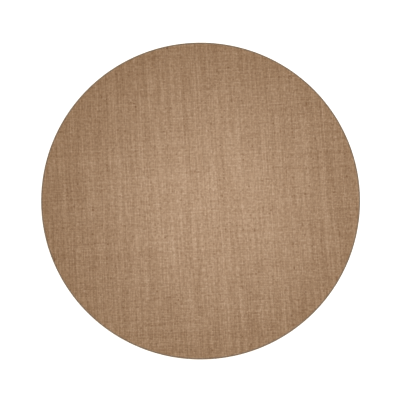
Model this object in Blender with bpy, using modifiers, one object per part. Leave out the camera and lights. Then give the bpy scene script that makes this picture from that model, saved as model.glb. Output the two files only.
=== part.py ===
"""Round sisal rug, lying flat with its underside at z = 0 and its centre on the Z axis.

Two sewn pieces, each one turned solid:
  sisal_panel    the round cut of plain-woven sisal, stepped thinner along its rim
  edge_whipping  the overcast thread around that rim, a ring with a C section

Metres, +Z up. The warp of the weave runs along Y.
"""

import math

import bpy

# ---- Driving dimensions -------------------------------------------------------------------------------------

RUG_DIAMETER = 1.2  # over the edge thread
PANEL_THICKNESS = 0.006  # of the loose weave, away from its rim
EDGE_HEIGHT = 0.0066  # of the whipped edge, a little proud of the weave
THREAD_THICKNESS = 0.0012  # one layer of the overcast thread
WRAP_WIDTH = 0.0055  # how far the thread bites in from the rug's outline
FIT_GAP = 0.0003  # between the thread and the weave
STEPS = 180  # turned facets, 2 degrees each
ROUND_POINTS = 4  # facets of each rounded corner of the thread ring
CORNER_SHARE = 0.4  # of the edge height, the radius of those corners
SEAM_MERGE = 0.00001  # points closer than this are welded where the turn closes

# ---- Worked out from them -----------------------------------------------------------------------------------

RUG_RADIUS = RUG_DIAMETER / 2
WRAP_INNER_RADIUS = RUG_RADIUS - WRAP_WIDTH  # where the thread dives into the weave
THROAT_RADIUS = RUG_RADIUS - THREAD_THICKNESS  # the ring's inner wall, facing the rim of the weave
THROAT_LOW = THREAD_THICKNESS
THROAT_HIGH = EDGE_HEIGHT - THREAD_THICKNESS

FIELD_RADIUS = WRAP_INNER_RADIUS - FIT_GAP  # the panel at its full thickness
TONGUE_RADIUS = THROAT_RADIUS - FIT_GAP  # the panel's pressed rim, inside the thread
TONGUE_LOW = THROAT_LOW + FIT_GAP
TONGUE_HIGH = THROAT_HIGH - FIT_GAP

CORNER_RADIUS = EDGE_HEIGHT * CORNER_SHARE  # the ring's rounded outer corners

SISAL_COLOR = (0.45, 0.30, 0.19, 1.0)
THREAD_COLOR = (0.31, 0.22, 0.15, 1.0)


def clear_scene():
    """Remove whatever objects the open file holds."""
    for thing in list(bpy.data.objects):
        bpy.data.objects.remove(thing, do_unlink=True)


def make_collection(name):
    """A collection for the rug's pieces, linked to the scene."""
    collection = bpy.data.collections.new(name)
    bpy.context.scene.collection.children.link(collection)
    return collection


def make_material(name, color, roughness):
    """A dry, non-metallic fibre finish."""
    material = bpy.data.materials.new(name)
    material.use_nodes = True
    shader = material.node_tree.nodes["Principled BSDF"]
    shader.inputs["Base Color"].default_value = color
    shader.inputs["Roughness"].default_value = roughness
    shader.inputs["Metallic"].default_value = 0.0
    return material


def turned(name, profile, closed, material, collection):
    """Turn a profile of (radius, height) points, outer side running downwards, about the Z axis."""
    count = len(profile)
    edges = [(i, i + 1) for i in range(count - 1)]
    if closed:
        edges.append((count - 1, 0))
    mesh = bpy.data.meshes.new(name)
    mesh.from_pydata([(radius, 0.0, height) for radius, height in profile], edges, [])
    piece = bpy.data.objects.new(name, mesh)
    piece.data.materials.append(material)
    collection.objects.link(piece)

    screw = piece.modifiers.new("turn", "SCREW")
    screw.axis = "Z"
    screw.angle = math.tau
    screw.steps = STEPS
    screw.render_steps = STEPS
    screw.use_merge_vertices = True
    screw.merge_threshold = SEAM_MERGE
    screw.use_smooth_shade = False
    return piece


def panel_profile():
    """Half section of the weave, from the axis over the top, down the stepped rim and back underneath."""
    return [
        (0.0, PANEL_THICKNESS),
        (FIELD_RADIUS, PANEL_THICKNESS),
        (FIELD_RADIUS, TONGUE_HIGH),
        (TONGUE_RADIUS, TONGUE_HIGH),
        (TONGUE_RADIUS, TONGUE_LOW),
        (FIELD_RADIUS, TONGUE_LOW),
        (FIELD_RADIUS, 0.0),
        (0.0, 0.0),
    ]


def quarter_round(centre_radius, centre_height, start_angle):
    """Points of a quarter circle of CORNER_RADIUS, turning clockwise from start_angle."""
    angles = [start_angle - math.pi / 2 * i / ROUND_POINTS for i in range(ROUND_POINTS + 1)]
    return [
        (centre_radius + CORNER_RADIUS * math.cos(a), centre_height + CORNER_RADIUS * math.sin(a))
        for a in angles
    ]


def whipping_profile():
    """The C section of the thread: rounded outside, open towards the rim of the weave."""
    corner = RUG_RADIUS - CORNER_RADIUS
    outside = quarter_round(corner, EDGE_HEIGHT - CORNER_RADIUS, math.pi / 2)
    outside += quarter_round(corner, CORNER_RADIUS, 0.0)
    throat = [
        (WRAP_INNER_RADIUS, 0.0),
        (WRAP_INNER_RADIUS, THROAT_LOW),
        (THROAT_RADIUS, THROAT_LOW),
        (THROAT_RADIUS, THROAT_HIGH),
        (WRAP_INNER_RADIUS, THROAT_HIGH),
        (WRAP_INNER_RADIUS, EDGE_HEIGHT),
    ]
    return outside + throat


def build_panel(collection):
    """The round cut of woven sisal."""
    sisal = make_material("sisal_weave", SISAL_COLOR, 0.85)
    return turned("sisal_panel", panel_profile(), False, sisal, collection)


def build_whipping(collection):
    """The overcast thread around the rim."""
    thread = make_material("edge_thread", THREAD_COLOR, 0.75)
    return turned("edge_whipping", whipping_profile(), True, thread, collection)


def build_rug():
    clear_scene()
    collection = make_collection("round_sisal_rug")
    build_panel(collection)
    build_whipping(collection)


build_rug()
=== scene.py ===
# %% [markdown]
# # A round sisal rug, woven and overcast
#
# A sisal rug is cut from one plain-woven cloth. Thick, dry yarns cross over and under each other, one by one,
# and the cut rim is overcast all round with thread, so that it can't fray. The measured solids of such a rug
# are loaded first. The cloth and the thread are then grown around them, yarn by yarn and wrap by wrap.

# %% Load the measured solids
import math

import bpy
import numpy as np
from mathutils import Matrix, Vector


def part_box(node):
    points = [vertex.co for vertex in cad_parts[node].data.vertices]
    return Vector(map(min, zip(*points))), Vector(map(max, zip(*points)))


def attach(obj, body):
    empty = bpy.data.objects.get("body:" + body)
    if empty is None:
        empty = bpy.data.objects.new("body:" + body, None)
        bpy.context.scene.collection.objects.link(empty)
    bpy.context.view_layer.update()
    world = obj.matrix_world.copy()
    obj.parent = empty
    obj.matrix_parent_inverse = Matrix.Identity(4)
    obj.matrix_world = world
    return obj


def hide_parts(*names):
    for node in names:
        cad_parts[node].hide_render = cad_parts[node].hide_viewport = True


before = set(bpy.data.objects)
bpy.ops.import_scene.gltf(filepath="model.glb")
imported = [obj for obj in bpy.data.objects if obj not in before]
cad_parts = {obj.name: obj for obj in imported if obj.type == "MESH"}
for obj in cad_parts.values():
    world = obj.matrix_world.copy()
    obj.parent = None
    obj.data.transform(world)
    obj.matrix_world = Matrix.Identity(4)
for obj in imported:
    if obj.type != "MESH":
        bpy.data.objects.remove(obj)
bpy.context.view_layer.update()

# %% [markdown]
# ## Sizes
#
# Both solids are turned about the upright axis, so each one is fully told by its rings of points. Reading the
# rings back gives every size that the cloth and the thread have to keep to, and none is typed twice.


# %% Read the sizes from the solids
def rings_of(node):
    """The (radius, height) of each ring of points of a turned solid, the outermost first."""
    points = [point.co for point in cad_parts[node].data.vertices]
    return sorted({(round(math.hypot(at.x, at.y), 5), round(at.z, 5)) for at in points}, reverse=True)


panel_rings = rings_of("sisal_panel")
RUG_RADIUS = rings_of("edge_whipping")[0][0]
EDGE_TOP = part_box("edge_whipping")[1].z
PANEL_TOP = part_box("sisal_panel")[1].z
(TONGUE_RADIUS, TONGUE_TOP), (_, TONGUE_LOW) = panel_rings[:2]
FIELD_RADIUS = panel_rings[2][0]
print(f"rug {2 * RUG_RADIUS} m wide, its weave {FIELD_RADIUS} m from the centre to the step")
print(f"pressed rim from {TONGUE_LOW} to {TONGUE_TOP} m high")

# %% [markdown]
# ## Helpers for node trees
#
# Shapes and finishes are both built as node trees here. A few small helpers keep them readable: one adds a
# node and fills its sockets, and the others shorten the nodes for arithmetic, vectors and blends.


# %% Add a node, do arithmetic
def node(tree, kind, sockets=None, **settings):
    """Add a node, change its settings, then wire or fill its sockets, by number where names repeat."""
    made = tree.nodes.new(kind)
    for name, value in settings.items():
        setattr(made, name, value)
    for key, value in (sockets or {}).items():
        if isinstance(value, bpy.types.NodeSocket):
            tree.links.new(value, made.inputs[key])
        else:
            made.inputs[key].default_value = value
    return made


def calc(tree, operation, *numbers, clamp=False):
    """The outcome of one arithmetic step on plain numbers or sockets."""
    step = node(tree, "ShaderNodeMath", dict(enumerate(numbers)), operation=operation, use_clamp=clamp)
    return step.outputs[0]


def vector_calc(tree, operation, *values, outcome=0):
    """The same for vectors. A scale factor goes in as {"Scale": factor}."""
    sockets = {}
    for place, value in enumerate(values):
        sockets.update(value if isinstance(value, dict) else {place: value})
    return node(tree, "ShaderNodeVectorMath", sockets, operation=operation).outputs[outcome]


# %% Join and part vectors, blend, stretch and read noise
def joined(tree, x=0.0, y=0.0, z=0.0):
    return node(tree, "ShaderNodeCombineXYZ", {"X": x, "Y": y, "Z": z}).outputs[0]


def parted(tree, vector):
    return node(tree, "ShaderNodeSeparateXYZ", {0: vector}).outputs


def blend(tree, share, low, high):
    """low where share is 0, high where it is 1."""
    return node(tree, "ShaderNodeMix", {0: share, 2: low, 3: high}, data_type="FLOAT").outputs[0]


def ramped(tree, value, start, end, to_start=0.0, to_end=1.0):
    """value, stretched so that start becomes to_start and end becomes to_end, and held there beyond them."""
    sockets = {"Value": value, "From Min": start, "From Max": end, "To Min": to_start, "To Max": to_end}
    return node(tree, "ShaderNodeMapRange", sockets, clamp=True).outputs[0]


def wavering(tree, where, detail, swing=1.0):
    """Noise read at this place, which swings by about this much to both sides of 0."""
    sockets = {"Vector": where, "Scale": 1.0, "Detail": detail}
    noise = node(tree, "ShaderNodeTexNoise", sockets, noise_dimensions="3D").outputs[0]
    return calc(tree, "MULTIPLY_ADD", noise, 4.0 * swing, -2.0 * swing)  # from mostly 0.25 to 0.75


# %% [markdown]
# ## Growing a piece
#
# A Geometry Nodes tree is a recipe with named inputs. To use one, an empty start object gets the tree as a
# modifier, its inputs are set, and the evaluated result is copied into a plain mesh. The start object then
# goes, so the finished piece holds only its mesh and lies at the origin.


# %% Start a tree, grow a piece from it
SOCKETS = {float: "NodeSocketFloat", int: "NodeSocketInt", bpy.types.Material: "NodeSocketMaterial"}


def new_recipe(name, inputs):
    """A tree with these named inputs, and its input sockets by name."""
    tree = bpy.data.node_groups.new(name, "GeometryNodeTree")
    tree.interface.new_socket("Piece", in_out="OUTPUT", socket_type="NodeSocketGeometry")
    for label, value in inputs.items():
        tree.interface.new_socket(label, in_out="INPUT", socket_type=SOCKETS[type(value)])
    return tree, node(tree, "NodeGroupInput").outputs


def grow(name, tree, inputs):
    """The plain mesh object that the tree makes with these inputs."""
    start = bpy.data.objects.new(name + "_start", bpy.data.meshes.new(name + "_start"))
    bpy.context.scene.collection.objects.link(start)
    modifier = start.modifiers.new("recipe", "NODES")
    modifier.node_group = tree
    for socket in tree.interface.items_tree:
        if socket.in_out == "INPUT":
            modifier[socket.identifier] = inputs[socket.name]
    seen = start.evaluated_get(bpy.context.evaluated_depsgraph_get())
    mesh = bpy.data.meshes.new_from_object(seen)
    bpy.data.objects.remove(start)
    mesh.name = name
    piece = bpy.data.objects.new(name, mesh)
    bpy.context.scene.collection.objects.link(piece)
    mesh.calc_loop_triangles()
    print(f"{name}: {len(mesh.vertices)} points, {len(mesh.loop_triangles)} triangles")
    return piece


# %% Start a finish
def new_finish(name, roughness, specular):
    """A material with its tree and its shader node."""
    material = bpy.data.materials.new(name)
    material.use_nodes = True
    shader = material.node_tree.nodes["Principled BSDF"]
    shader.inputs["Roughness"].default_value = roughness
    shader.inputs["Specular IOR Level"].default_value = specular
    return material, material.node_tree, shader


# %% [markdown]
# ## The woven panel: one crossing at a time
#
# In a plain weave every crossing shows one yarn on top, by turns the warp, which runs along Y, and the weft,
# which runs along X. It could be bump on a flat disc, but then the rim and the low angles look like a board.
# Here each crossing is a square of a grid. It is pushed up, then pinched to a ridge along the yarn on top, so
# six triangles make one raised yarn and the hollows fall at the corners, where a real weave has its pits.

# %% Sizes of the weave
YARN_PITCH = 0.006  # from one yarn to the next, in both directions
FLOAT_SHARE = 0.56  # of a pitch, the length of a ridge
RIDGE_TOP = PANEL_TOP + 0.0003  # of an average yarn on top
PIT_HEIGHT = PANEL_TOP - 0.0013
KEPT_INSIDE = 0.45  # of a pitch, how far inside the rim the middle of the last crossing lies
CELLS = 2 * math.ceil(FIELD_RADIUS / YARN_PITCH)  # an even number, so that a yarn gap falls on the centre
SAME_PLACE = 0.00001  # points nearer than this are merged
print(f"a square of {CELLS} x {CELLS} crossings to cut from, with {RIDGE_TOP - PIT_HEIGHT:.4f} m of relief")


# %% Cut the grid to a disc, raise and pinch each crossing
def out_from_axis(tree, at):
    """How far a place lies from the upright axis."""
    return vector_calc(tree, "LENGTH", vector_calc(tree, "MULTIPLY", at, (1.0, 1.0, 0.0)), outcome="Value")


def yarn_counts(tree, at, pitch):
    """How many warps along X and how many wefts along Y a place lies from the centre."""
    return vector_calc(tree, "DIVIDE", at, joined(tree, pitch, pitch, pitch))


def pinched_crossings(tree, size, at):
    """A flat disc of crossings, each one a ridge along the yarn that lies on top."""
    side = calc(tree, "MULTIPLY", size["Cells"], size["Pitch"])
    count = calc(tree, "ADD", size["Cells"], 1.0)
    square = {"Size X": side, "Size Y": side, "Vertices X": count, "Vertices Y": count}
    grid = node(tree, "GeometryNodeMeshGrid", square)

    reach = calc(tree, "MULTIPLY_ADD", size["Pitch"], -KEPT_INSIDE, size["Field radius"])
    beyond = calc(tree, "GREATER_THAN", out_from_axis(tree, at), reach)
    disc = node(tree, "GeometryNodeDeleteGeometry", {0: grid.outputs[0], "Selection": beyond}, domain="FACE")

    relief = calc(tree, "SUBTRACT", size["Ridge top"], size["Pit height"])
    upwards = {"Offset": (0.0, 0.0, 1.0), "Offset Scale": relief, "Individual": True}
    raised = node(tree, "GeometryNodeExtrudeMesh", {"Mesh": disc.outputs[0], **upwards}, mode="FACES")
    column, row, _ = parted(tree, vector_calc(tree, "FLOOR", yarn_counts(tree, at, size["Pitch"])))
    weft_up = calc(tree, "FLOORED_MODULO", calc(tree, "ADD", column, row), 2.0)
    warp_up = calc(tree, "SUBTRACT", 1.0, weft_up)
    shape, top = raised.outputs["Mesh"], raised.outputs["Top"]
    for axis, on_top in (((1.0, 0.0, 0.0), weft_up), ((0.0, 1.0, 0.0), warp_up)):
        length = calc(tree, "MULTIPLY", on_top, size["Float share"])
        pinch = {"Geometry": shape, "Selection": top, "Scale": length, "Axis": axis}
        one_way = {"domain": "FACE", "scale_mode": "SINGLE_AXIS"}
        shape = node(tree, "GeometryNodeScaleElements", pinch, **one_way).outputs[0]
    return node(tree, "GeometryNodeMergeByDistance", {"Geometry": shape, "Distance": SAME_PLACE}).outputs[0]


# %% [markdown]
# ### Hand-spun yarns wander
#
# A perfect grid looks printed. Real sisal yarns are hand-fed and uneven, so each one drifts a little to the
# side and swells here and there. Noise that changes fast across a yarn and slowly along it does this. The
# yarn count of each point is stored first, as the map "weave", so the colours follow the drifting yarns.


# %% Store the yarn count
def store(tree, shape, name, value, selection=True, **settings):
    """The shape with this value stored under a name, which a finish can read later."""
    sockets = {"Geometry": shape, "Selection": selection, "Name": name, "Value": value}
    return node(tree, "GeometryNodeStoreNamedAttribute", sockets, **settings).outputs[0]


def store_weave_map(tree, shape, at, pitch, shift=(0.0, 0.0, 0.0), selection=True):
    """The yarn count of each corner of the selected faces as a map."""
    counted = vector_calc(tree, "ADD", yarn_counts(tree, at, pitch), shift)
    return store(tree, shape, "weave", counted, selection, data_type="FLOAT2", domain="CORNER")


# %% Let the yarns wander
WEAVE_SEED = 7
WANDER = 0.22  # of a pitch, how far a yarn drifts sideways
SLUB = 0.22  # of its relief, how much it swells
DRIFT_ACROSS = 70.0  # changes of the drift in a metre across the yarns
DRIFT_ALONG = 9.0  # and along them
SWELLS = 130.0  # changes of the swell in a metre
CALM_YARNS = 3  # next to the rim
PRESSED = 0.6  # of its relief that is left to a yarn at the rim
SIDEWAYS_LANE = 0.3  # parts of the noise far from each other, so that nothing repeats
ENDWAYS_LANE = 40.3
SWELL_LANE = 80.3
print(f"a yarn drifts by up to {WANDER * YARN_PITCH:.4f} m and swells by up to {SLUB:.0%}")


def drift(tree, at, rates, seed, lane):
    """Noise of about -1 to 1 that changes at these rates along X and Y, from its own part of the noise."""
    where = vector_calc(tree, "MULTIPLY_ADD", at, (*rates, 0.0), joined(tree, lane, lane, seed))
    return wavering(tree, where, detail=1.0)


def wandered(tree, shape, size, at):
    """The crossings with uneven yarns, calm near the rim, where the thread holds them down."""
    x, y, z = parted(tree, at)
    calm_from = calc(tree, "MULTIPLY_ADD", size["Pitch"], -CALM_YARNS, size["Field radius"])
    loose = ramped(tree, out_from_axis(tree, at), calm_from, size["Field radius"], 1.0, 0.0)
    sway = calc(tree, "MULTIPLY", loose, calc(tree, "MULTIPLY", size["Wander"], size["Pitch"]))
    sideways = drift(tree, at, (DRIFT_ACROSS, DRIFT_ALONG), size["Seed"], SIDEWAYS_LANE)
    endways = drift(tree, at, (DRIFT_ALONG, DRIFT_ACROSS), size["Seed"], ENDWAYS_LANE)
    swell = drift(tree, at, (SWELLS, SWELLS), size["Seed"], SWELL_LANE)
    swell = calc(tree, "MULTIPLY", swell, size["Slub"])
    pressed = calc(tree, "MULTIPLY_ADD", loose, 1.0 - PRESSED, PRESSED)
    ridge = calc(tree, "MULTIPLY", calc(tree, "MULTIPLY", z, calc(tree, "ADD", swell, 1.0)), pressed)
    new_x = calc(tree, "MULTIPLY_ADD", sideways, sway, x)
    new_y = calc(tree, "MULTIPLY_ADD", endways, sway, y)
    place = joined(tree, new_x, new_y, calc(tree, "ADD", ridge, size["Pit height"]))
    return node(tree, "GeometryNodeSetPosition", {"Geometry": shape, "Position": place}).outputs[0]


# %% [markdown]
# ### Closing the cloth
#
# The outer squares end in stairs. Their corners are pulled out almost to a true circle, and the open rim is
# extruded onto it. More extrusions lead down the step, out along the pressed tongue that the thread grips,
# down its edge and back to the flat underside. The last one runs to the centre, where its points are merged,
# so the cloth is one closed body. Each turn is marked sharp, or the shading would round it off.


# %% Pull the corners of the stairs out
RIM_HEIGHT = PANEL_TOP - 0.0005  # of the weave where it meets the thread
STAIR_GAP = 0.0004  # from the pulled corners to the circle
HAIR = 0.0001
print(f"corners pulled to {FIELD_RADIUS - STAIR_GAP:.4f} m, the rim {RIM_HEIGHT:.4f} m high")


def on_ring(tree, at, radius, height):
    """The place straight out from the axis at this radius and height."""
    outwards = vector_calc(tree, "NORMALIZE", vector_calc(tree, "MULTIPLY", at, (1.0, 1.0, 0.0)))
    level = vector_calc(tree, "SCALE", outwards, {"Scale": radius})
    return vector_calc(tree, "ADD", level, joined(tree, z=height))


def pulled_corners(tree, shape, size, at, loop):
    """The stairs with their outer corners pulled almost to the circle, and no point left beyond it."""
    faces_at_point = node(tree, "GeometryNodeInputMeshVertexNeighbors").outputs["Face Count"]
    corner = calc(tree, "LESS_THAN", faces_at_point, 3.0)
    inside = calc(tree, "SUBTRACT", size["Field radius"], STAIR_GAP)
    held_in = calc(tree, "MINIMUM", out_from_axis(tree, at), inside)
    radius = calc(tree, "MAXIMUM", held_in, calc(tree, "MULTIPLY", corner, inside))
    height = blend(tree, corner, parted(tree, at)[2], size["Rim height"])
    pulled = {"Geometry": shape, "Selection": loop, "Position": on_ring(tree, at, radius, height)}
    return node(tree, "GeometryNodeSetPosition", pulled).outputs[0]


# %% Draw the rim down and close the underside
def open_edges(tree):
    """Whether an edge borders on one face only."""
    faces_at_edge = node(tree, "GeometryNodeInputMeshEdgeNeighbors").outputs[0]
    whole = {"data_type": "INT", "operation": "EQUAL"}
    one = node(tree, "FunctionNodeCompare", {2: faces_at_edge, 3: 1}, **whole).outputs[0]
    return node(tree, "GeometryNodeFieldOnDomain", {0: one}, data_type="BOOLEAN", domain="EDGE").outputs[0]


def closed_body(tree, shape, size, at):
    """The disc with its rim drawn down in steps and its underside closed."""
    loop = open_edges(tree)
    shape = pulled_corners(tree, shape, size, at, loop)
    shape = node(tree, "GeometryNodeSetShadeSmooth", {"Geometry": shape, "Shade Smooth": True}).outputs[0]
    steps = (
        (size["Field radius"], size["Rim height"]),
        (size["Field radius"], size["Tongue top"]),
        (size["Tongue radius"], size["Tongue top"]),
        (size["Tongue radius"], size["Tongue low"]),
        (size["Field radius"], size["Tongue low"]),
        (size["Field radius"], 0.0),
        (0.0, 0.0),
    )
    for radius, height in steps:
        still = {"Mesh": shape, "Selection": loop, "Offset Scale": 0.0}
        drawn = node(tree, "GeometryNodeExtrudeMesh", still, mode="EDGES")
        loop = drawn.outputs["Top"]
        place = on_ring(tree, at, radius, height)
        moved = {"Geometry": drawn.outputs["Mesh"], "Selection": loop, "Position": place}
        shape = node(tree, "GeometryNodeSetPosition", moved).outputs[0]
        sharp = {"Geometry": shape, "Selection": loop, "Shade Smooth": False}
        shape = node(tree, "GeometryNodeSetShadeSmooth", sharp, domain="EDGE").outputs[0]
    merged = {"Geometry": shape, "Selection": loop, "Distance": SAME_PLACE}
    return node(tree, "GeometryNodeMergeByDistance", merged).outputs[0]


# %% The whole recipe of the panel
def panel_recipe(inputs):
    tree, size = new_recipe("woven panel", inputs)
    at = node(tree, "GeometryNodeInputPosition").outputs[0]
    shape = pinched_crossings(tree, size, at)
    shape = store_weave_map(tree, shape, at, size["Pitch"])
    shape = wandered(tree, shape, size, at)
    shape = closed_body(tree, shape, size, at)

    edge = calc(tree, "SUBTRACT", size["Field radius"], HAIR)
    stepped = calc(tree, "GREATER_THAN", out_from_axis(tree, at), edge)
    shape = store_weave_map(tree, shape, at, size["Pitch"], selection=stepped)
    facing = parted(tree, node(tree, "GeometryNodeInputNormal").outputs[0])[2]
    below = calc(tree, "LESS_THAN", facing, -0.5)
    one_yarn_on = (1.0, 0.0, 0.0)  # as the yarn that is up above is down below
    shape = store_weave_map(tree, shape, at, size["Pitch"], one_yarn_on, below)
    flat = {"Geometry": shape, "Selection": calc(tree, "MAXIMUM", below, stepped), "Shade Smooth": False}
    shape = node(tree, "GeometryNodeSetShadeSmooth", flat).outputs[0]
    shape = node(tree, "GeometryNodeRealizeInstances", {"Geometry": shape}).outputs[0]
    shape = node(tree, "GeometryNodeSetMaterial", {"Geometry": shape, "Material": size["Finish"]}).outputs[0]
    node(tree, "NodeGroupOutput", {"Piece": shape})
    return tree


# %% [markdown]
# ## The finish of the sisal
#
# Sisal is a leaf fibre: dry, matt and never one colour. Yarns from different leaves make fine lighter and
# darker streaks along the warp, fewer along the weft, and each crossing differs a little from its neighbours.
# The map "weave" counts yarns, so rounding it down numbers each yarn, and a noise that is read by yarn number
# gives every yarn its own tone. The part after the point says where on the crossing a point lies.

# %% Colours and tones of the sisal
SISAL_DARK = (0.260, 0.139, 0.0685, 1.0)
SISAL_MIDDLE = (0.477, 0.312, 0.1925, 1.0)
SISAL_LIGHT = (0.690, 0.500, 0.360, 1.0)

# Of each tone: its strength, its changes from yarn to yarn and along a yarn, and its part of the noise
WARP_YARN = (0.07, 0.83, 0.06, 2.3)  # a whole warp, which drifts slowly along it
WARP_STRAND = (0.135, 1.4, 0.02, 31.3)  # the thinner strands it is twisted from
WARP_FLOAT = (0.105, 0.83, 0.7, 57.1)  # each stretch of it that shows
WARP_TUFT = (0.10, 1.13, 0.5, 83.9)  # and its short swells
WEFT_STRAND = (0.08, 1.6, 0.02, 9.7)
WEFT_FLOAT = (0.125, 0.83, 0.5, 44.9)
PATCH = (0.018, 0.1, 0.1, 57.1)  # broad and faint

MEAN_TONE = 0.5
UNDER_SHARE = 0.5  # how much of its tone a yarn keeps where it dives under
FIBRE_TONE = 0.5
# The next value is painted shade: how much the pits at the corners of a crossing and the sides of the yarns
# are darkened, where shade falls between the yarns.
GAP_PAINTED_SHADE = 0.30
SPECK_TONE = 0.3
print("sisal from", SISAL_DARK[:3], "to", SISAL_LIGHT[:3])


# %% Number the yarns and place a point on its crossing
def crossing_parts(tree):
    """Yarn numbers and counts, whether the weft is up, and the place across and along the upper yarn."""
    counted = node(tree, "ShaderNodeUVMap", uv_map="weave").outputs[0]
    warps, wefts, _ = parted(tree, counted)
    warp, weft = calc(tree, "FLOOR", warps), calc(tree, "FLOOR", wefts)
    weft_up = calc(tree, "FLOORED_MODULO", calc(tree, "ADD", warp, weft), 2.0)
    in_warp = calc(tree, "SUBTRACT", calc(tree, "SUBTRACT", warps, warp), 0.5)
    in_weft = calc(tree, "SUBTRACT", calc(tree, "SUBTRACT", wefts, weft), 0.5)
    across = blend(tree, weft_up, in_warp, in_weft)
    along = blend(tree, weft_up, in_weft, in_warp)
    counts = {"warps": warps, "wefts": wefts, "warp": warp, "weft": weft}
    return {**counts, "weft_up": weft_up, "across": across, "along": along}


def yarn_tone(tree, kind, number, distance):
    """The strength of this kind of tone, and its noise of about -1 to 1."""
    strength, spacing, pace, lane = kind
    yarn, stretch = calc(tree, "MULTIPLY", number, spacing), calc(tree, "MULTIPLY", distance, pace)
    return strength, wavering(tree, joined(tree, yarn, stretch, lane), detail=0.0)


def summed(tree, tones):
    """The tones added up, each with its strength."""
    total = 0.0
    for strength, tone in tones:
        total = calc(tree, "MULTIPLY_ADD", tone, strength, total)
    return total


# %% The tones of the yarns
def yarn_tones(tree, part):
    """The tone of the warps and that of the wefts, each weaker where the yarn dives under."""
    warp, weft, warps, wefts = (part[name] for name in ("warp", "weft", "warps", "wefts"))
    warp_tones = (
        yarn_tone(tree, WARP_YARN, warp, wefts),
        yarn_tone(tree, WARP_STRAND, warps, wefts),
        yarn_tone(tree, WARP_FLOAT, warp, wefts),
        yarn_tone(tree, WARP_TUFT, warps, wefts),
    )
    weft_tones = (
        yarn_tone(tree, WEFT_STRAND, wefts, warps),
        yarn_tone(tree, WEFT_FLOAT, weft, warps),
    )
    warp_share = blend(tree, part["weft_up"], 1.0, UNDER_SHARE)
    weft_share = blend(tree, part["weft_up"], UNDER_SHARE, 1.0)
    return (warp_share, summed(tree, warp_tones)), (weft_share, summed(tree, weft_tones))


# %% The fibres, the gaps and the specks
FIBRES_ACROSS = 13.0  # changes of tone across a yarn
FIBRES_PASSED = 5.0  # along one crossing, as the twist lays the fibres askew
FIBRES_ENDED = 1.5  # along one crossing
NEW_WARP = 1.37  # steps through the noise, so that each crossing gets its own fibres
NEW_WEFT = 2.11
RAGGED = 0.15  # how far the fibres break up the side of a gap
GAP_FROM = 0.72  # of the way from the middle of a yarn to its side
SIDE_SHADE = 0.4  # beside a yarn, where a pit has 1
SPECK_FROM = 0.985  # the share of crossings without a dark speck


def fibres_of(tree, part):
    """Slanted fibre marks of about -0.5 to 0.5, as the twist of the upper yarn lays them."""
    passed = calc(tree, "MULTIPLY", part["along"], FIBRES_PASSED)
    twisted = calc(tree, "MULTIPLY_ADD", part["across"], FIBRES_ACROSS, passed)
    ended = calc(tree, "MULTIPLY", part["along"], FIBRES_ENDED)
    crossing = calc(tree, "MULTIPLY", part["weft"], NEW_WEFT)
    crossing = calc(tree, "MULTIPLY_ADD", part["warp"], NEW_WARP, crossing)
    return wavering(tree, joined(tree, twisted, ended, crossing), detail=2.0, swing=0.5)


# The gaps are painted shade: darker colour where shade falls between the yarns.
def gap_shade(tree, part, fibre):
    """Painted shade: 1 in the pits at the corners of a crossing, less beside the upper yarn, 0 on top of it.
    """
    off_centre = calc(tree, "ABSOLUTE", calc(tree, "MULTIPLY", part["across"], 2.0))
    off_middle = calc(tree, "ABSOLUTE", calc(tree, "MULTIPLY", part["along"], 2.0))
    corner = calc(tree, "POWER", calc(tree, "MULTIPLY", off_centre, off_middle), 2.0)
    beside = ramped(tree, calc(tree, "MULTIPLY_ADD", fibre, RAGGED, off_centre), GAP_FROM, 1.0)
    return calc(tree, "MULTIPLY_ADD", beside, SIDE_SHADE, corner)


def speck_shade(tree, part):
    """0 on most crossings, up to 1 on a few."""
    crossing = joined(tree, part["warp"], part["weft"])
    own = node(tree, "ShaderNodeTexWhiteNoise", {"Vector": crossing}, noise_dimensions="2D")
    return ramped(tree, own.outputs["Value"], SPECK_FROM, 1.0)


# %% Turn a tone into a colour, a height into a slope
BUMP_STRENGTH = 0.6


def tinted(tree, tone, colours):
    """The colour at this tone, from the first colour at 0 to the last at 1."""
    ramp = node(tree, "ShaderNodeValToRGB", {"Fac": tone})
    ramp.color_ramp.elements[0].color = colours[0]
    ramp.color_ramp.elements[1].color = colours[-1]
    for place, colour in enumerate(colours[1:-1], 1):
        ramp.color_ramp.elements.new(place / (len(colours) - 1)).color = colour
    return ramp.outputs[0]


def bumped(tree, height, distance):
    """The slope of the surface where this height is embossed on it."""
    sockets = {"Strength": BUMP_STRENGTH, "Distance": distance, "Height": height}
    return node(tree, "ShaderNodeBump", sockets).outputs[0]


# %% The whole finish of the sisal
YARN_BUMP = 0.0012  # metres of height
FIBRE_BUMP = 0.2  # of the yarn's
BOW = 0.8 * math.pi  # how far a yarn bends down over one crossing


def sisal_finish():
    material, tree, shader = new_finish("sisal_weave", roughness=0.88, specular=0.25)
    part = crossing_parts(tree)
    fibre = fibres_of(tree, part)
    tones = (
        *yarn_tones(tree, part),
        yarn_tone(tree, PATCH, part["warps"], part["wefts"]),
        (FIBRE_TONE, fibre),
        (-SPECK_TONE, speck_shade(tree, part)),
        # painted shade in the pits and beside the yarns
        (-GAP_PAINTED_SHADE, gap_shade(tree, part, fibre)),
        (1.0, MEAN_TONE),
    )
    colour = tinted(tree, summed(tree, tones), (SISAL_DARK, SISAL_MIDDLE, SISAL_LIGHT))
    tree.links.new(colour, shader.inputs["Base Color"])

    round_yarn = calc(tree, "COSINE", calc(tree, "MULTIPLY", part["across"], math.pi))
    bowed = calc(tree, "COSINE", calc(tree, "MULTIPLY", part["along"], BOW))
    height = calc(tree, "MULTIPLY_ADD", fibre, FIBRE_BUMP, calc(tree, "MULTIPLY", round_yarn, bowed))
    tree.links.new(bumped(tree, height, YARN_BUMP), shader.inputs["Normal"])
    return material


sisal = sisal_finish()
print(f"{sisal.name}: {len(sisal.node_tree.nodes)} nodes")

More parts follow.
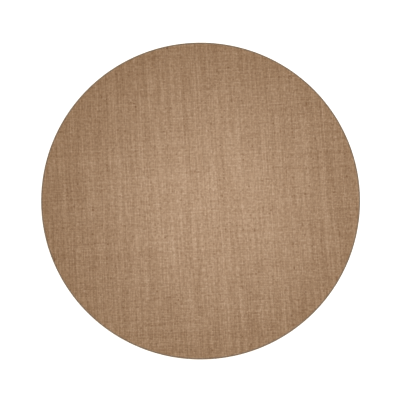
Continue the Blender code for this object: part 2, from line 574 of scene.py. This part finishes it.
# %% Grow the panel
panel_inputs = {
    "Cells": CELLS,
    "Pitch": YARN_PITCH,
    "Field radius": FIELD_RADIUS,
    "Ridge top": RIDGE_TOP,
    "Pit height": PIT_HEIGHT,
    "Float share": FLOAT_SHARE,
    "Wander": WANDER,
    "Slub": SLUB,
    "Seed": WEAVE_SEED,
    "Rim height": RIM_HEIGHT,
    "Tongue radius": TONGUE_RADIUS,
    "Tongue top": TONGUE_TOP,
    "Tongue low": TONGUE_LOW,
    "Finish": sisal,
}
panel = grow("woven_panel", panel_recipe(panel_inputs), panel_inputs)

# %% [markdown]
# ## The overcast edge
#
# The cut rim is overcast: one thread runs round the edge in a long, close spiral, up through the weave, over
# the rim and down again. It could be a ring with a striped finish, but each wrap catches the light by itself.
# One wrap is a short tube along a rounded C, a little slanted as a spiral is. Geometry Nodes set about 1,570
# of them round the rim, and a fixed seed moves each one slightly off its place.

# %% Sizes of the overcast thread
CLEAR = 0.0003  # taken off the thread's thickness and reach; its bends and ends still run into the rim
THREAD_THICKNESS = EDGE_TOP - TONGUE_TOP - CLEAR  # of its one layer
THREAD_WIDTH = 0.0026  # more than the pitch, so that each wrap presses into the next
WRAP_PITCH = 0.0024
WRAPS = round(math.tau * RUG_RADIUS / WRAP_PITCH)
WRAP_REACH = RUG_RADIUS - FIELD_RADIUS - CLEAR  # from the dive into the weave to the outside
WRAP_TURN = math.radians(304)  # of a whole turn, as the C is open towards the rug's centre
WRAP_BULGE = 0.55  # 1 gives a round C, 0 a square one
WRAP_SHAKE = 0.08  # of a pitch
WRAP_SEED = 3
PATH_POINTS = 9  # along one wrap
TUBE_SIDES = 6
print(f"{WRAPS} wraps of thread {THREAD_THICKNESS:.4f} m thick")


# %% The path of one wrap
def rounded_c(tree, size):
    """The path of one wrap in the upright plane: a rounded C that is open towards the rug's centre."""
    angles = {"Start Angle": -WRAP_TURN / 2, "Sweep Angle": WRAP_TURN}
    arc = node(tree, "GeometryNodeCurveArc", {"Resolution": PATH_POINTS, "Radius": 1.0, **angles})
    at = node(tree, "GeometryNodeInputPosition").outputs[0]
    turn = node(tree, "GeometryNodeSplineParameter").outputs["Factor"]
    squared = []
    for part in parted(tree, at)[:2]:
        bulge = calc(tree, "POWER", calc(tree, "ABSOLUTE", part), WRAP_BULGE)
        squared.append(calc(tree, "MULTIPLY", calc(tree, "SIGN", part), bulge))
    half_reach = calc(tree, "MULTIPLY", calc(tree, "SUBTRACT", size["Reach"], size["Thickness"]), 0.5)
    half_rise = calc(tree, "MULTIPLY", calc(tree, "SUBTRACT", size["Edge height"], size["Thickness"]), 0.5)
    middle = calc(tree, "SUBTRACT", size["Radius"], calc(tree, "MULTIPLY", size["Reach"], 0.5))
    x = calc(tree, "MULTIPLY_ADD", squared[0], half_reach, middle)
    y = calc(tree, "MULTIPLY", calc(tree, "SUBTRACT", turn, 0.5), size["Slant"])
    z = calc(tree, "MULTIPLY_ADD", squared[1], half_rise, calc(tree, "MULTIPLY", size["Edge height"], 0.5))
    bent = {"Geometry": arc.outputs[0], "Position": joined(tree, x, y, z)}
    path = node(tree, "GeometryNodeSetPosition", bent).outputs[0]
    return store(tree, path, "along", turn, data_type="FLOAT", domain="POINT")


# %% One wrap as a tube, then all of them
def wrap_recipe(inputs):
    tree, size = new_recipe("overcast edge", inputs)
    section = node(tree, "GeometryNodeCurvePrimitiveCircle", {"Resolution": TUBE_SIDES, "Radius": 0.5})
    oval = {"Geometry": section.outputs[0], "Scale": joined(tree, size["Width"], size["Thickness"], 1.0)}
    oval = node(tree, "GeometryNodeTransform", oval).outputs[0]
    tube = {"Curve": rounded_c(tree, size), "Profile Curve": oval, "Fill Caps": True}
    wrap = node(tree, "GeometryNodeCurveToMesh", tube).outputs[0]

    spots = node(tree, "GeometryNodePoints", {"Count": size["Wraps"]}).outputs[0]
    number = node(tree, "GeometryNodeInputIndex").outputs[0]
    either_way = {2: -WRAP_SHAKE, 3: WRAP_SHAKE, "Seed": size["Seed"]}
    shake = node(tree, "FunctionNodeRandomValue", either_way).outputs[1]
    step = calc(tree, "DIVIDE", math.tau, size["Wraps"])
    turn = calc(tree, "MULTIPLY", calc(tree, "ADD", number, shake), step)
    turned = {"Points": spots, "Instance": wrap, "Rotation": joined(tree, z=turn)}
    placed = node(tree, "GeometryNodeInstanceOnPoints", turned).outputs[0]
    shape = store(tree, placed, "wrap", number, data_type="FLOAT", domain="INSTANCE")
    shape = node(tree, "GeometryNodeRealizeInstances", {"Geometry": shape}).outputs[0]
    shape = node(tree, "GeometryNodeSetShadeSmooth", {"Geometry": shape, "Shade Smooth": True}).outputs[0]
    shape = node(tree, "GeometryNodeSetMaterial", {"Geometry": shape, "Material": size["Finish"]}).outputs[0]
    node(tree, "NodeGroupOutput", {"Piece": shape})
    return tree


# %% [markdown]
# ### The finish of the thread
#
# The thread is spun from two plies, which show as slanted stripes across every wrap. The stripes need two
# counts: how many wraps a point lies round the rim, which comes from its angle about the axis, and how far it
# lies along its own wrap, which the recipe has stored. The tone also changes a little from wrap to wrap.

# %% Twist the plies, tint the wraps
THREAD_DARK = (0.210, 0.157, 0.112, 1.0)
THREAD_LIGHT = (0.475, 0.375, 0.282, 1.0)
PLY_TURNS = 5.0  # of the plies along one wrap
PLY_TONE = 0.22
FUZZ_TONE = 0.9
FUZZ_SCALE = 900.0
OWN_TONE = 0.3  # of a wrap against its neighbours
LEAST_TONE = -0.1
PLY_BUMP = 0.00015  # metres of height
FUZZ_BUMP = 0.5  # of the ply's


def thread_finish():
    material, tree, shader = new_finish("edge_thread", roughness=0.8, specular=0.3)
    along = node(tree, "ShaderNodeAttribute", attribute_name="along").outputs["Fac"]
    wrap = node(tree, "ShaderNodeAttribute", attribute_name="wrap").outputs["Fac"]
    place = node(tree, "ShaderNodeTexCoord").outputs["Object"]
    x, y, _ = parted(tree, place)
    wraps_round = calc(tree, "MULTIPLY", calc(tree, "ARCTAN2", y, x), WRAPS / math.tau)
    twist = calc(tree, "MULTIPLY_ADD", along, PLY_TURNS, wraps_round)
    ply = calc(tree, "SINE", calc(tree, "MULTIPLY", twist, math.tau))
    fine = {"Vector": place, "Scale": FUZZ_SCALE, "Detail": 2.0}
    fuzz = node(tree, "ShaderNodeTexNoise", fine).outputs[0]
    own = node(tree, "ShaderNodeTexWhiteNoise", {"W": wrap}, noise_dimensions="1D").outputs["Value"]
    tone = summed(tree, ((PLY_TONE, ply), (FUZZ_TONE, fuzz), (OWN_TONE, own), (1.0, LEAST_TONE)))
    tree.links.new(tinted(tree, tone, (THREAD_DARK, THREAD_LIGHT)), shader.inputs["Base Color"])
    height = calc(tree, "MULTIPLY_ADD", fuzz, FUZZ_BUMP, ply)
    tree.links.new(bumped(tree, height, PLY_BUMP), shader.inputs["Normal"])
    return material


thread = thread_finish()
print(f"{thread.name}: {len(thread.node_tree.nodes)} nodes")

# %% Grow the overcast edge
wrap_inputs = {
    "Wraps": WRAPS,
    "Radius": RUG_RADIUS,
    "Reach": WRAP_REACH,
    "Edge height": EDGE_TOP,
    "Thickness": THREAD_THICKNESS,
    "Width": THREAD_WIDTH,
    "Slant": WRAP_PITCH,
    "Seed": WRAP_SEED,
    "Finish": thread,
}
whipping = grow("overcast_edge", wrap_recipe(wrap_inputs), wrap_inputs)

# %% [markdown]
# ## Laying both pieces out flat
#
# When the rug leaves for another program, its finishes are painted onto flat pictures, and each face needs
# its own place there. The panel is laid out as it would lie on a cutting table: the top as a large disc, with
# the pressed rim as rings around it, and the plain underside as a smaller disc beside it. Each wrap of thread
# is slit along its length and unrolled into a cell of a grid.


# %% Read the corners of the faces, store a flat place for each
def corners_of(mesh):
    """The point number, the place and the face number of every corner of a face."""
    points = np.empty(len(mesh.loops), dtype=np.int32)
    mesh.loops.foreach_get("vertex_index", points)
    places = np.empty(3 * len(mesh.vertices), dtype=np.float32)
    mesh.vertices.foreach_get("co", places)
    sides = np.empty(len(mesh.polygons), dtype=np.int32)
    mesh.polygons.foreach_get("loop_total", sides)
    return points, places.reshape(-1, 3)[points], np.repeat(np.arange(len(sides)), sides)


def lay_out(piece, across, upwards):
    """Store the flat places as the map that the pictures are painted on."""
    flat = np.stack([across, upwards], axis=1).astype(np.float32)
    piece.data.uv_layers.new(name="OFBake").data.foreach_set("uv", flat.ravel())
    print(f"{piece.name} laid out from {flat.min(axis=0).round(3)} to {flat.max(axis=0).round(3)}")


# %% The panel as two discs
TOP_DISC = 0.435  # radius, of a sheet one wide
UNDER_DISC = 0.145


def lay_out_panel():
    _, places, faces = corners_of(panel.data)
    x, y, z = places.T
    out = np.maximum(np.hypot(x, y), 1e-9)  # never quite 0
    middle_height = np.bincount(faces, z) / np.bincount(faces)
    on_top = (middle_height >= (TONGUE_TOP + TONGUE_LOW) / 2)[faces]
    drop = np.where(out > FIELD_RADIUS - HAIR, RIM_HEIGHT - z, 0.0)
    unrolled = out + np.where(on_top, drop, z)
    scale = np.where(on_top, TOP_DISC, UNDER_DISC) / unrolled.max() / out * unrolled
    across = np.where(on_top, TOP_DISC + x * scale, 1.0 - UNDER_DISC - x * scale)
    upwards = np.where(on_top, 1.0 - TOP_DISC + y * scale, UNDER_DISC + y * scale)
    lay_out(panel, across, upwards)


lay_out_panel()

# %% The wraps in rows
WRAP_ROWS = 16
WRAP_COLUMNS = math.ceil(WRAPS / WRAP_ROWS)
TUBE_SHARE = 0.9  # of a cell, both ways
CAP_MIDDLES = ((0.2, 0.95), (0.7, 0.95))  # in the cell, of the two ends of a wrap
CAP_REACH = (0.15, 0.025)  # half as wide and half as high as an end


def lay_out_wraps():
    points, _, faces = corners_of(whipping.data)
    wrap, place = np.divmod(points, PATH_POINTS * TUBE_SIDES)
    ring, side = np.divmod(place, TUBE_SIDES)
    corners = np.bincount(faces)
    cap = (corners == TUBE_SIDES)[faces]
    closing = (np.maximum.reduceat(side, np.cumsum(corners) - corners) == TUBE_SIDES - 1)[faces]
    round_side = np.where(closing & (side == 0), TUBE_SIDES, side) / TUBE_SIDES
    turn = math.tau * side / TUBE_SIDES
    middle = np.array(CAP_MIDDLES)[(ring > 0).astype(int)]
    in_cell = np.where(cap, middle[:, 0] + CAP_REACH[0] * np.cos(turn), TUBE_SHARE * round_side)
    up_cell = np.where(cap, middle[:, 1] + CAP_REACH[1] * np.sin(turn), TUBE_SHARE * ring / (PATH_POINTS - 1))
    row, column = np.divmod(wrap, WRAP_COLUMNS)
    lay_out(whipping, (column + in_cell) / WRAP_COLUMNS, (row + up_cell) / WRAP_ROWS)


lay_out_wraps()

# %% [markdown]
# ## Which solid each piece stands for
#
# The grown pieces ride on the rug's one body and take the places of the plain solids, which stay in use for
# weight and contact.

# %% Put the pieces on the frame
for piece, solid, slot in ((panel, "sisal_panel", "sisal_weave"), (whipping, "edge_whipping", "edge_thread")):
    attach(piece, "root")
    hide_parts(solid)
    print(piece.name, "stands for", solid)

# %% [markdown]
# ## Floor and light
#
# A rug like this is shown on a white sheet under soft light from above, which is a little stronger over the
# middle. The floor also glows, as a light table does, so it stays white all the way out. The sky is pale near
# the horizon and warm overhead, and one large round lamp adds the cooler light over the middle.

# %% Lay the floor
FLOOR_REACH = 60.0
FLOOR_DROP = 0.0002  # below the rug
FLOOR_GLOW = 0.92


def white_floor():
    material, tree, shader = new_finish("white_floor", roughness=0.9, specular=0.0)
    shader.inputs["Base Color"].default_value = (0.9, 0.9, 0.9, 1.0)
    shader.inputs["Emission Color"].default_value = (1.0, 1.0, 1.0, 1.0)
    shader.inputs["Emission Strength"].default_value = FLOOR_GLOW
    return material


bpy.ops.mesh.primitive_plane_add(size=FLOOR_REACH, location=(0.0, 0.0, -FLOOR_DROP))
floor = bpy.context.object
floor.name = "floor"
floor.data.materials.append(white_floor())
print("floor", [round(side, 2) for side in floor.dimensions])

# %% Hang the lamp
LAMP_HEIGHT = 1.5 * RUG_RADIUS
LAMP_PLACE = (0.09 * RUG_RADIUS, -0.035 * RUG_RADIUS, LAMP_HEIGHT)
LAMP_WIDTH = 0.5
LAMP_SHARE = (0.702, 0.831, 0.990)  # of the light on the middle, in red, green and blue

lamp_data = bpy.data.lights.new("overhead_lamp", "AREA")
lamp_data.shape = "DISK"
lamp_data.size = LAMP_WIDTH
lamp_data.color = [share / max(LAMP_SHARE) for share in LAMP_SHARE]
lamp_data.energy = math.pi**2 * LAMP_HEIGHT**2 * max(LAMP_SHARE)  # more watts for a higher lamp
lamp = bpy.data.objects.new("overhead_lamp", lamp_data)
lamp.location = LAMP_PLACE
lamp.visible_camera = False
bpy.context.scene.collection.objects.link(lamp)
print("lamp", round(lamp_data.energy, 2), "W at", [round(side, 3) for side in lamp.location])

# %% Light the sky
SKY_SHARE = (0.383, 0.261, 0.107)  # of the light on the middle, as for the lamp
PALE_TO = math.radians(12)  # above the horizon
WARM_FROM = math.radians(20)

world = bpy.data.worlds.new("studio")
world.use_nodes = True
bpy.context.scene.world = world
sky_tree = world.node_tree
direction = node(sky_tree, "ShaderNodeTexCoord").outputs["Generated"]
high = ramped(sky_tree, parted(sky_tree, direction)[2], math.sin(PALE_TO), math.sin(WARM_FROM))
sky = tinted(sky_tree, high, ((1.0, 1.0, 1.0, 1.0), (*SKY_SHARE, 1.0)))
sky_tree.links.new(sky, sky_tree.nodes["Background"].inputs["Color"])
bpy.context.scene.view_settings.view_transform = "Standard"
print("sky overhead", SKY_SHARE)

# %% [markdown]
# ## Camera
#
# The rug is seen from almost straight above, through a long lens. Because it is round, only the lie of the
# yarns shows which way round it lies: it is turned a few degrees, so the warps lean slightly to the left.

# %% Set up the camera
LENS = 85.0
SENSOR = 36.0
RISE = math.radians(83.4)
TURN = math.radians(-3.5)
VIEW_WIDTH = 1.2528 * 2 * RUG_RADIUS  # what the view takes in at the rug
AIM_RIGHT, AIM_UP = -0.0022, -0.0077  # of the middle of the weave
backwards = Vector((math.sin(TURN) * math.cos(RISE), -math.cos(TURN) * math.cos(RISE), math.sin(RISE)))

camera_data = bpy.data.cameras.new("camera")
camera_data.lens = LENS
camera_data.sensor_width = SENSOR
camera = bpy.data.objects.new("camera", camera_data)
bpy.context.scene.collection.objects.link(camera)
camera.rotation_mode = "QUATERNION"
camera.rotation_quaternion = (-backwards).to_track_quat("-Z", "Y")
right = camera.rotation_quaternion @ Vector((1.0, 0.0, 0.0))
up = camera.rotation_quaternion @ Vector((0.0, 1.0, 0.0))
aim = Vector((0.0, 0.0, PANEL_TOP)) + AIM_RIGHT * right + AIM_UP * up
camera.location = aim + backwards * VIEW_WIDTH * LENS / SENSOR
bpy.context.scene.camera = camera
print("camera", [round(side, 3) for side in camera.location], "aimed at", [round(side, 4) for side in aim])
